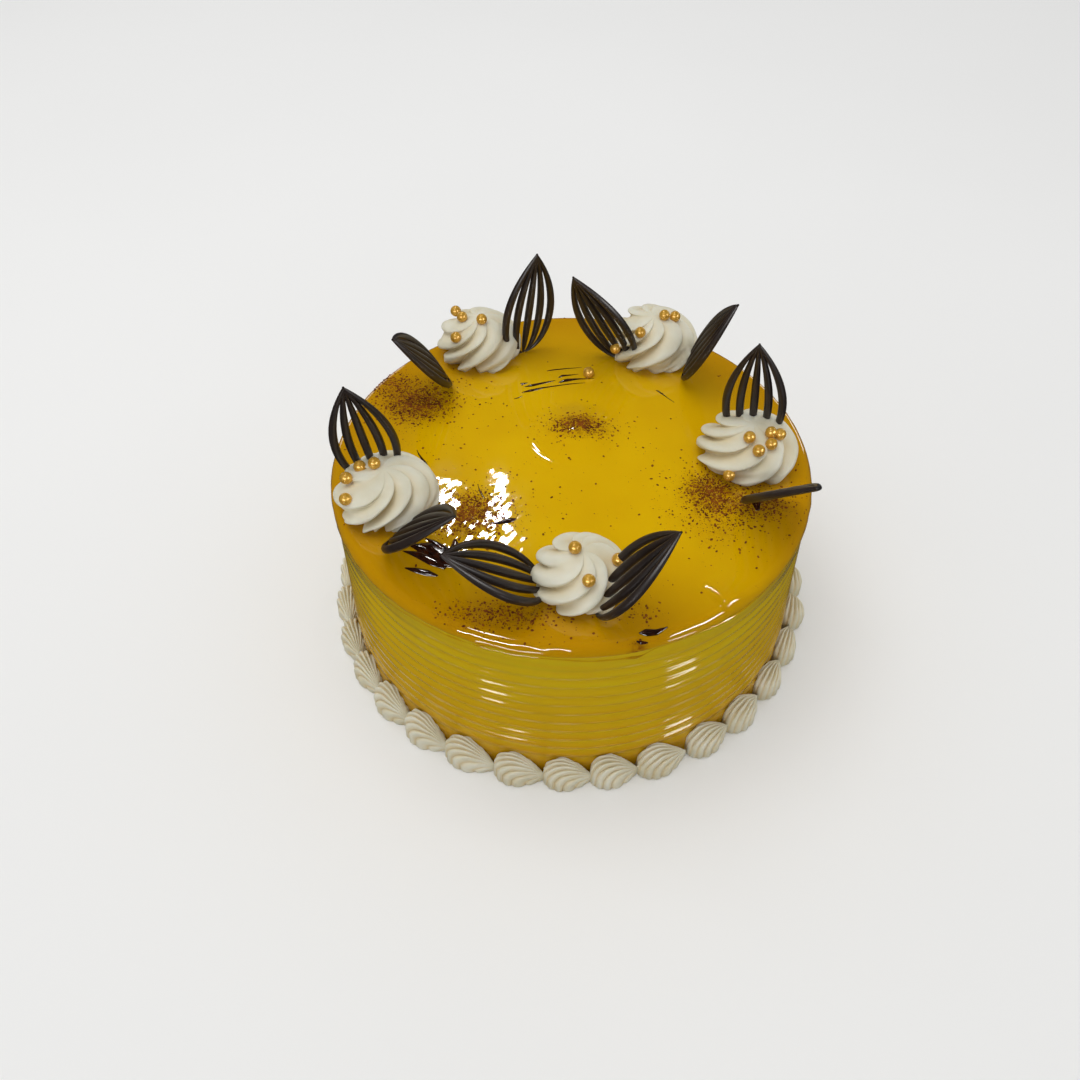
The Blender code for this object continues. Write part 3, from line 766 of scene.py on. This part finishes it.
def shell_mesh():
    """One shell about the origin: tail along +X, out from the cake along +Y, standing on Z = 0."""
    swing = np.linspace(-SHELL_FAN, SHELL_FAN, SHELL_RIDGES * 8 + 1)
    run = np.where(np.abs(swing) < math.pi / 2.0, SHELL_WIDEST, 1.0 - SHELL_WIDEST)
    edge_share = SHELL_WIDEST - np.cos(swing) * run
    edge_across = np.copysign(taper(edge_share, SHELL_WIDEST, *PLAN_POWERS), swing)
    # Two rings for the foot, then rings that close in on the tip of the tail
    ring_share = np.concatenate([[0.90, 0.955], 1.0 - np.linspace(0.10, 0.98, SHELL_ROWS) ** 1.15])[:, None]
    share = 1.0 + (edge_share - 1.0) * ring_share
    across = edge_across * ring_share
    flank = np.abs(across) / np.maximum(taper(share, SHELL_WIDEST, *PLAN_POWERS), 1e-4)
    back = taper(share, SHELL_WIDEST, *BACK_POWERS)
    crown = np.where(share < SHELL_WIDEST, back, SHELL_TAIL + (1.0 - SHELL_TAIL) * back)
    up = crown * np.sqrt(held(1.0 - held(flank) ** 2.2))
    up[0], up[1] = 0.0, 0.06
    fold = swing / (2.0 * SHELL_FAN) * math.pi * SHELL_RIDGES + math.pi * SHELL_RIDGES / 2.0
    crease = (1.0 - np.abs(np.sin(fold)) ** 0.7) * np.minimum(1.0, ring_share * 1.6)
    shrink = 1.0 - SHELL_GROOVE * crease
    rings = np.dstack([(share - 0.5) * SHELL_LENGTH, across * shrink * SHELL_WIDTH / 2.0,
                       up * shrink * SHELL_HEIGHT])
    tip = (0.5 * SHELL_LENGTH, 0.0, SHELL_TAIL * SHELL_HEIGHT)
    return mark_creases(skin_mesh("one_shell", rings, (0.0, 0.0, 0.0), tip, cream), crease)


one_shell = show("one_shell", shell_mesh())
print("one shell has", len(one_shell.data.polygons), "faces")

# %% Places of the shells, measured from their solids
SHELL_OVERLAP = 1.24


def measure_shell(node):
    """Azimuth, and length, width and height as shares of the pattern shell."""
    points = np.array([v.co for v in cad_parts[node].data.vertices])
    middle = points.mean(axis=0)
    azimuth = math.atan2(middle[1], middle[0])
    out = points[:, 0] * math.cos(azimuth) + points[:, 1] * math.sin(azimuth)
    along = points[:, 1] * math.cos(azimuth) - points[:, 0] * math.sin(azimuth)
    azimuth += (along.max() + along.min()) / 2.0 / SHELL_CENTRE_RADIUS
    half_width = out.max() - SHELL_CENTRE_RADIUS
    return azimuth, (SHELL_OVERLAP * np.ptp(along) / SHELL_LENGTH, half_width * 2.0 / SHELL_WIDTH,
                     points[:, 2].max() / SHELL_HEIGHT)


shell_nodes = sorted(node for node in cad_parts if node.startswith("shell_"))
shell_places = [measure_shell(node) for node in shell_nodes]
spots = point_mesh("shell_spots", [(SHELL_CENTRE_RADIUS * math.cos(a), SHELL_CENTRE_RADIUS * math.sin(a), 0.0)
                                   for a, _ in shell_places])
keep(spots, "turn", [azimuth for azimuth, _ in shell_places])
keep(spots, "stretch", [value for _, stretch in shell_places for value in stretch], "FLOAT_VECTOR")
print("measured", len(shell_places), "shells")

# %% Shell tree: copy the shell to each spot
def shell_tree():
    tree, given = new_tree("Shell ring", {"Pattern": "Object", "Unevenness": 0.65 * MM, "Seed": 3.0})
    heading = calc(tree, "ADD", kept(tree, "turn"), math.pi / 2.0)
    flat = add(tree, "ShaderNodeCombineXYZ", {"Z": heading})
    turned = add(tree, "FunctionNodeEulerToRotation", {0: flat.outputs[0]})
    pattern = add(tree, "GeometryNodeObjectInfo", {"Object": given["Pattern"]})
    copies = add(tree, "GeometryNodeInstanceOnPoints",
                 {"Points": given["Geometry"], "Instance": pattern.outputs["Geometry"],
                  "Rotation": turned.outputs[0], "Scale": kept(tree, "stretch", "FLOAT_VECTOR")})
    # The copies are made real before the noise, so that it bends each in its own way
    real = add(tree, "GeometryNodeRealizeInstances", {0: copies.outputs[0]})
    place = add(tree, "GeometryNodeInputPosition").outputs[0]
    wobble = add(tree, "ShaderNodeTexNoise", {"Vector": place, "W": given["Seed"], "Scale": 1.0 / (7 * MM),
                                              "Detail": 1.0}, noise_dimensions="4D")
    centred = vector(tree, "SUBTRACT", wobble.outputs["Color"], (0.5, 0.5, 0.5))
    above = fade(tree, height_of(tree, place), 0.0, 3 * MM, 0.0, 2.0, style="LINEAR")
    push = stretched(tree, centred, calc(tree, "MULTIPLY", above, given["Unevenness"]))
    return end_tree(tree, given, moved(tree, real.outputs[0], Offset=push))


shells = run_tree(show("piped_shells", spots), shell_tree(), {"Pattern": one_shell, "Finish": cream})
bpy.data.objects.remove(one_shell, do_unlink=True)
stand_for(shells, "whipped_cream", *shell_nodes)

# %% [markdown]
# ## Chocolate leaves
# The leaves are bought moulded pieces: five round-fronted ribs that spring from a small base, spread, and run
# into one another at a pointed tip. A tree draws the five ribs as curves and sweeps a round bar along them,
# fuller in front than behind, as a mould makes it. Each leaf is a turned copy that stands on the glaze.

# %% Leaf outline
LEAF_LENGTH = 50.0 * MM
LEAF_WIDTH = 25.0 * MM
LEAF_WIDEST = 0.40
LEAF_POWERS = (2.2, 1.9)
LEAF_RIBS = 5
RIB_POINTS = 44
RIB_SHARE = 0.12
RIB_THINNEST = 0.4 * MM
RIB_SWELL = 0.45 * MM


def rib_centres():
    """Points along each rib's middle with the rib's half width, base to tip."""
    share = 0.5 - 0.5 * np.cos(np.pi * np.linspace(0.04, 0.985, RIB_POINTS))
    half = taper(share, LEAF_WIDEST, *LEAF_POWERS) * LEAF_WIDTH / 2.0
    near_tip = held((1.0 - share) / 0.08)
    rib_half = np.maximum(half * RIB_SHARE, RIB_THINNEST) + RIB_SWELL * share ** 1.5 * near_tip
    return share * LEAF_LENGTH, half, rib_half


def ribs_mesh():
    along, half, rib_half = rib_centres()
    points = []
    for rib in range(LEAF_RIBS):
        side = 2.0 * rib / (LEAF_RIBS - 1) - 1.0
        points += [(x, side * max(h - w, 0.0), 0.0) for x, h, w in zip(along, half, rib_half)]
    mesh = point_mesh("rib_spots", points)
    keep(mesh, "rib", [i // RIB_POINTS for i in range(len(points))], "INT")
    keep(mesh, "half_width", list(rib_half) * LEAF_RIBS)
    return mesh


# %% Leaf tree: a bar along each rib
def leaf_tree():
    tree, given = new_tree("Leaf ribs", {"Front": 1.25, "Back": 0.75})
    cloud = add(tree, "GeometryNodeMeshToPoints", {"Mesh": given["Geometry"]})
    lines = add(tree, "GeometryNodePointsToCurves",
                {"Points": cloud.outputs[0], "Curve Group ID": kept(tree, "rib", "INT")})
    straight = add(tree, "GeometryNodeSetCurveNormal", {"Curve": lines.outputs[0]}, mode="Z_UP")
    bar = add(tree, "GeometryNodeCurvePrimitiveCircle", {"Resolution": 16, "Radius": 1.0})
    swept = add(tree, "GeometryNodeCurveToMesh",
                {"Curve": straight.outputs[0], "Profile Curve": bar.outputs[0],
                 "Scale": kept(tree, "half_width"), "Fill Caps": True})
    place = add(tree, "GeometryNodeInputPosition").outputs[0]
    x, y, z = add(tree, "ShaderNodeSeparateXYZ", {0: place}).outputs
    fullness = add(tree, "GeometryNodeSwitch", {"Switch": calc(tree, "GREATER_THAN", z, 0.0),
                                                "False": given["Back"], "True": given["Front"]},
                   input_type="FLOAT")
    height = calc(tree, "MULTIPLY", z, fullness.outputs[0])
    shaped = add(tree, "ShaderNodeCombineXYZ", {"X": x, "Y": y, "Z": height})
    return end_tree(tree, given, moved(tree, swept.outputs[0], Position=shaped.outputs[0]))


leaf_pattern = run_tree(show("leaf_pattern", ribs_mesh()), leaf_tree(), {"Finish": chocolate})

# %% Stand the leaves in their places
def leaf_mesh(place):
    x, y, heading, rise, roll = LEAVES[place]
    turn = Euler([math.radians(angle) for angle in (roll, -rise, heading)]).to_matrix().to_4x4()
    mesh = leaf_pattern.data.copy()
    mesh.name = f"leaf_{place}"
    mesh.transform(Matrix.Translation((x * MM, y * MM, 0.0)) @ turn)
    lowest = min(vert.co.z for vert in mesh.vertices)
    mesh.transform(Matrix.Translation((0.0, 0.0, ON_GLAZE - lowest)))
    return mesh


for place in LEAVES:
    piece = show(f"chocolate_leaf_{place}", leaf_mesh(place))
    stand_for(piece, "dark_chocolate", f"leaf_{place}")
bpy.data.objects.remove(leaf_pattern, do_unlink=True)

# %% [markdown]
# ## Gold pearls
# The pearls are hard sugar balls about 5 mm across, pressed into the cream by a third of their radius. A ray
# cast back towards the middle of a rosette finds the cream's surface, and a tree puts a sphere at each spot.

# %% Spots for the pearls
PEARL_RADIUS = 2.45 * MM
PEARL_SINK = 0.38
ROSETTE_CENTRE_SHARE = 0.39


def pearl_spots():
    found = [(LOOSE_PEARL[0] * MM, LOOSE_PEARL[1] * MM, GLAZE_TOP + PEARL_RADIUS * (1.0 - PEARL_SINK))]
    for place, ways in PEARLS.items():
        x, y, radius, height = (value * MM for value in ROSETTES[place])
        work = bmesh.new()
        work.from_mesh(rosette_pieces[place].data)
        skin = BVHTree.FromBMesh(work)
        centre = Vector((x, y, ON_GLAZE + height * ROSETTE_CENTRE_SHARE))
        above = height * (1.0 - ROSETTE_CENTRE_SHARE)
        for azimuth, angle in ways:
            turn, tilt = math.radians(azimuth), math.radians(angle)
            way = Vector((math.sin(tilt) * math.cos(turn) * radius, math.sin(tilt) * math.sin(turn) * radius,
                          math.cos(tilt) * above)).normalized()
            hit, *_ = skin.ray_cast(centre + way * 2.0 * radius, -way)
            spot = hit + way * PEARL_RADIUS * (1.0 - PEARL_SINK)
            found.append((spot.x, spot.y, max(spot.z, ON_GLAZE + PEARL_RADIUS)))
        work.free()
    return found


# %% Pearl tree
def pearl_tree():
    tree, given = new_tree("Pearls", {"Radius": PEARL_RADIUS, "Spread": 0.05, "Seed": 4})
    ball = add(tree, "GeometryNodeMeshUVSphere", {"Segments": 24, "Rings": 14, "Radius": given["Radius"]})
    smallest = calc(tree, "SUBTRACT", 1.0, given["Spread"])
    size = add(tree, "FunctionNodeRandomValue", {"Min": smallest, "Max": 1.0, "Seed": given["Seed"]},
               data_type="FLOAT")
    copies = add(tree, "GeometryNodeInstanceOnPoints",
                 {"Points": given["Geometry"], "Instance": ball.outputs[0], "Scale": size.outputs["Value"]})
    return end_tree(tree, given, copies.outputs[0])


pearls = run_tree(show("gold_pearls", point_mesh("pearl_spots", pearl_spots())), pearl_tree(),
                  {"Finish": gold})
stand_for(pearls, "whipped_cream")

# %% [markdown]
# ## Strokes of melted chocolate
# A few strokes were flicked over the glaze with a brush. Each is a line of points with a width at each, drawn
# as a low rounded ridge that ends in points and follows the glaze's own height.

# %% Stroke helper
STROKE_ROWS = 30
STROKE_COLUMNS = 7
# Height, rise of its edge and depth of its underside, in mm from the glaze
STROKE_HEIGHT, STROKE_EDGE, STROKE_UNDER = 0.45, 0.03, 0.25


def stroke_skin(points):
    """Low rounded ridge through (x, y, half width) points in mm, lying on the glaze."""
    path = smooth_path(np.array(points, float), STROKE_ROWS, 3)
    way = np.gradient(path[:, :2], axis=0)
    way /= np.maximum(np.hypot(way[:, 0], way[:, 1]), 1e-6)[:, None]
    across = np.linspace(-1.0, 1.0, STROKE_COLUMNS)
    x = path[:, 0:1] - way[:, 1:2] * across * path[:, 2:3]
    y = path[:, 1:2] + way[:, 0:1] * across * path[:, 2:3]
    swell = STROKE_HEIGHT * np.minimum(1.0, path[:, 2:3]) * (1.0 - across ** 2)
    ground = GLAZE_TOP / MM + glaze_relief(x * MM, y * MM) / MM
    top = np.dstack([x, y, ground + STROKE_EDGE + swell]) * MM
    bottom = np.dstack([x, y, ground - STROKE_UNDER]) * MM
    return np.concatenate([top, bottom[:, ::-1]], axis=1)


# Points of each stroke in mm: x, y and half width
STROKES = (
    ((-57.0, -50.0, 0.8), (-51.5, -52.0, 4.4), (-45.5, -56.0, 4.8), (-38.5, -60.5, 0.8)),
    ((22.6, -92.2, 0.2), (24.2, -92.8, 0.8), (26.5, -92.8, 0.2)),
    ((-60.5, -49.5, 0.2), (-55.5, -51.0, 2.0), (-50.0, -53.5, 4.2), (-44.5, -56.5, 3.6), (-40.0, -59.5, 0.6)),
    ((-61.5, -53.0, 0.2), (-56.0, -54.5, 1.6), (-50.0, -57.5, 2.4), (-45.0, -61.0, 0.8)),
    ((-54.0, -46.5, 0.3), (-50.0, -49.0, 1.2), (-47.0, -52.0, 1.8)),
    ((-43.0, -47.0, 0.6), (-42.5, -50.5, 1.8), (-43.5, -54.5, 1.8)),
    ((-59.8, -61.0, 0.2), (-56.0, -62.0, 1.2), (-51.5, -63.3, 1.5), (-47.5, -64.6, 0.4)),
    ((-31.0, -38.5, 0.2), (-27.5, -38.5, 0.7), (-23.5, -37.0, 1.5), (-20.8, -36.2, 0.5)),
    ((-21.2, 42.3, 0.1), (-17.5, 43.5, 0.8), (-12.0, 45.5, 0.6), (-7.5, 47.0, 0.15)),
    ((-22.8, 44.6, 0.2), (-21.3, 44.6, 0.6), (-19.5, 45.2, 0.1)),
    ((-21.8, 38.5, 0.15), (-18.5, 39.8, 0.9), (-12.0, 42.2, 0.4), (0.0, 45.0, 0.25), (5.5, 45.6, 0.1)),
    ((-6.0, 45.6, 0.3), (-3.0, 47.2, 1.1), (2.0, 48.2, 0.5), (9.5, 48.6, 0.1)),
    ((-6.2, 49.0, 0.2), (-4.6, 50.4, 0.7), (-0.5, 51.0, 0.3), (2.5, 51.6, 0.1)),
    ((-11.5, 53.5, 0.2), (-9.0, 54.3, 0.4), (-3.0, 55.4, 0.3), (4.0, 56.4, 0.1)),
    ((-25.0, 34.2, 0.15), (-23.4, 34.9, 0.3), (-21.5, 36.2, 0.1)),
    ((36.2, 41.2, 0.15), (37.4, 40.2, 0.45), (40.5, 36.5, 0.2), (43.6, 33.0, 0.1)),
    ((-62.9, 1.6, 0.1), (-61.5, -1.5, 0.3), (-58.8, -5.8, 0.7), (-57.2, -8.2, 0.2)),
    ((23.6, -89.0, 0.3), (26.0, -88.6, 1.6), (29.5, -88.4, 1.2), (33.6, -86.2, 0.2)),
    ((69.5, -22.5, 1.6), (71.3, -26.0, 1.8), (71.4, -30.5, 0.8)),
    ((-36.5, -18.5, 0.1), (-35.5, -22.0, 0.3), (-33.5, -25.5, 0.2)),
)


def join_strokes():
    work = bmesh.new()
    for points in STROKES:
        rings = stroke_skin(points)
        part = skin_mesh("stroke", rings, tuple(rings[0].mean(axis=0)), tuple(rings[-1].mean(axis=0)), melted)
        work.from_mesh(part)
        bpy.data.meshes.remove(part)
    mesh = bpy.data.meshes.new("strokes")
    work.to_mesh(mesh)
    work.free()
    mesh.materials.append(melted)
    mesh.shade_smooth()
    return mesh


strokes = show("chocolate_strokes", join_strokes())
stand_for(strokes, "dark_chocolate")

# %% [markdown]
# ## Grains of cocoa
# Shaken cocoa falls as clumps of 0.2 to 1.2 mm, mostly small ones, crowded in the patches and stray
# elsewhere. Each point of the glaze's own skin gets a density from the patches, and a tree scatters flattened
# grains by it. Real grains catch the light from any side, where a painted pattern would look flat.

# %% Density of grains over the top
# Grains for each square mm: strays everywhere, then the middle of a full patch and its wide fringe
STRAY_GRAINS = 0.006
MIDDLE_GRAINS, MIDDLE_FALL = 5.6, 2.0
FRINGE_GRAINS, FRINGE_FALL = 0.25, 0.85


def grain_density(x, y):
    """Grains for each square metre at places in metres."""
    x, y = x / MM, y / MM
    total = np.full_like(x, STRAY_GRAINS)
    for at_x, at_y, reach_x, reach_y, strength in COCOA_PATCHES:
        away = np.hypot((x - at_x) / reach_x, (y - at_y) / reach_y)
        total += strength * (MIDDLE_GRAINS * np.exp(-(away * MIDDLE_FALL) ** 2)
                             + FRINGE_GRAINS * np.exp(-(away * FRINGE_FALL) ** 2))
    return total * 1e6


def grain_ground():
    """Copy of the top of the glaze with the density on each point."""
    work = bmesh.new()
    work.from_mesh(glaze_skin.data)
    low = [f for f in work.faces if f.normal.z < 0.6 or f.calc_center_median().z < GLAZE_TOP - 1.2 * MM]
    bmesh.ops.delete(work, geom=low, context="FACES")
    mesh = bpy.data.meshes.new("grain_ground")
    work.to_mesh(mesh)
    work.free()
    points = np.array([v.co for v in mesh.vertices])
    keep(mesh, "crowd", grain_density(points[:, 0], points[:, 1]))
    return mesh


# %% Cocoa tree
GRAIN_FACES = 20


def cocoa_tree():
    tree, given = new_tree("Cocoa", {"Smallest": 0.12 * MM, "Largest": 0.62 * MM, "Seed": 7})
    fallen = add(tree, "GeometryNodeDistributePointsOnFaces",
                 {"Mesh": given["Geometry"], "Density": kept(tree, "crowd"), "Seed": given["Seed"]})
    grain = add(tree, "GeometryNodeMeshIcoSphere", {"Radius": 1.0, "Subdivisions": 1})
    # Large clumps are rare, and each grain has its own proportions and turn
    luck = add(tree, "FunctionNodeRandomValue", {"Seed": given["Seed"]}, data_type="FLOAT")
    rare = calc(tree, "POWER", luck.outputs["Value"], 3.0)
    size = fade(tree, rare, 0.0, 1.0, given["Smallest"], given["Largest"], style="LINEAR")
    sides = add(tree, "FunctionNodeRandomValue", {0: (0.7, 0.7, 0.35), 1: (1.5, 1.0, 0.6), "Seed": 2},
                data_type="FLOAT_VECTOR")
    spin = add(tree, "FunctionNodeRandomValue", {0: (-0.3, -0.3, 0.0), 1: (0.3, 0.3, 6.28), "Seed": 5},
               data_type="FLOAT_VECTOR")
    turned = add(tree, "FunctionNodeEulerToRotation", {0: spin.outputs[0]})
    copies = add(tree, "GeometryNodeInstanceOnPoints",
                 {"Points": fallen.outputs[0], "Instance": grain.outputs[0],
                  "Scale": stretched(tree, sides.outputs[0], size), "Rotation": turned.outputs[0]})
    return end_tree(tree, given, copies.outputs[0])


grains = run_tree(show("cocoa_grains", grain_ground()), cocoa_tree(), {"Finish": cocoa}, smooth=False)
print("scattered", len(grains.data.polygons) // GRAIN_FACES, "grains")
stand_for(grains, "dark_chocolate")

# %% [markdown]
# ## The photographer's table
# A pale table, a bright surround and one large lamp overhead light the cake from all sides. They hardly
# mirror in the gel, so the yellow stays deep. All other lights are seen only as reflections: two panes behind
# the cake and a lamp above it in the top, two strips in front in the rim, and low ones in the comb's ridges.
# Two of these lie below the table's level, which is why the table is left out of reflections.

# %% Floor, surround and lights
# Place, aim, width and height in metres, power in watts, and whether only the gloss sees it
LIGHTS = {
    "overhead": ((-0.3, 0.1, 1.6), (0.0, 0.0, 0.05), (1.4, 1.4), 10.5, False),
    "pane_left": ((-0.216, 0.78, 0.94), (-0.048, -0.034, 0.082), (0.03, 0.105), 0.75, True),
    "pane_right": ((-0.115, 0.786, 0.94), (-0.027, -0.033, 0.082), (0.025, 0.105), 0.65, True),
    "strip_left": ((-0.38, -0.90, 0.56), (0.0, -0.09, 0.07), (0.80, 0.10), 9.0, True),
    "strip_right": ((0.83, -0.46, 0.56), (0.03, -0.08, 0.07), (0.70, 0.10), 8.0, True),
    "low_left": ((-0.42, -0.96, -0.26), (-0.02, -0.096, 0.045), (0.42, 0.14), 1.8, True),
    "low_right": ((0.72, -0.74, -0.29), (0.042, -0.09, 0.045), (0.22, 0.12), 0.75, True),
    "low_back_right": ((0.60, 0.85, 0.20), (0.09, -0.04, 0.05), (0.40, 0.20), 0.8, True),
    "low_back_left": ((-0.60, 0.85, 0.20), (-0.09, -0.04, 0.05), (0.40, 0.20), 0.5, True),
    "lamp_above": ((-0.35, -0.10, 1.20), (0.0, 0.0, 0.08), (0.16, 0.16), 2.0, True),
}
SURROUND_LIGHT, SURROUND_MIRRORED = 0.62, 0.04
TABLE_SIZE = 8.0


def make_floor():
    made, tree, place = new_material("pale_table", roughness=0.9, specular_ior_level=0.0)
    finished(made, tint(tree, noise(tree, place, 1.0 / 3.0, 2.0), (0.0, "#F1F1F0"), (1.0, "#F6F6F5")))
    bpy.ops.mesh.primitive_plane_add(size=TABLE_SIZE)
    floor = bpy.context.object
    floor.name = "table"
    floor.data.materials.append(made)
    floor.visible_glossy = False


def make_surround():
    world = bpy.data.worlds.new("surround")
    bpy.context.scene.world = world
    world.use_nodes = True
    tree = world.node_tree
    tree.nodes.clear()
    glossy = add(tree, "ShaderNodeLightPath").outputs["Is Glossy Ray"]
    seen = add(tree, "ShaderNodeMix", {0: glossy, 2: SURROUND_LIGHT, 3: SURROUND_MIRRORED})
    sky = add(tree, "ShaderNodeBackground", {"Color": colour("#FFFFFF"), "Strength": seen.outputs[0]})
    add(tree, "ShaderNodeOutputWorld", {"Surface": sky.outputs[0]})


def add_light(name, place, aim, size, power, mirrored):
    data = bpy.data.lights.new(name, "AREA")
    data.shape = "RECTANGLE"
    data.size, data.size_y = size
    data.energy = power
    light = show(name, data)
    light.location = place
    light.rotation_euler = (Vector(aim) - Vector(place)).to_track_quat("-Z", "Y").to_euler()
    light.visible_glossy = mirrored
    light.visible_diffuse = not mirrored


make_floor()
make_surround()
for name, values in LIGHTS.items():
    add_light(name, *values)
print("stage set with", len(LIGHTS), "lights")

# %% [markdown]
# ## The camera
# The photo was taken from 42 cm away, looking 51 degrees down. Its lens, tilt and framing were worked out
# from the circles of the rim and the shells.

# %% Camera
CAMERA_DISTANCE = 0.42229
CAMERA_PITCH = math.radians(50.801)
CAMERA_ROLL = math.radians(-0.637)
FRAME_PIXELS = 1080.0
FOCAL_PIXELS = 887.35
CENTRE_PIXEL = (570.37, 582.27)

camera_data = bpy.data.cameras.new("camera")
camera_data.sensor_width = 36.0
camera_data.lens = camera_data.sensor_width * FOCAL_PIXELS / FRAME_PIXELS
camera_data.shift_x = 0.5 - CENTRE_PIXEL[0] / FRAME_PIXELS
camera_data.shift_y = CENTRE_PIXEL[1] / FRAME_PIXELS - 0.5
camera_data.clip_start = 0.01
camera = bpy.data.objects.new("camera", camera_data)
bpy.context.scene.collection.objects.link(camera)
look = Matrix.Rotation(math.pi / 2.0 - CAMERA_PITCH, 4, "X") @ Matrix.Rotation(-CAMERA_ROLL, 4, "Z")
stand = Vector((0.0, -math.cos(CAMERA_PITCH), math.sin(CAMERA_PITCH))) * CAMERA_DISTANCE
camera.matrix_world = Matrix.Translation(stand) @ look
bpy.context.scene.camera = camera
bpy.context.scene.view_settings.view_transform = "Standard"
print("camera at", tuple(round(value, 4) for value in stand))
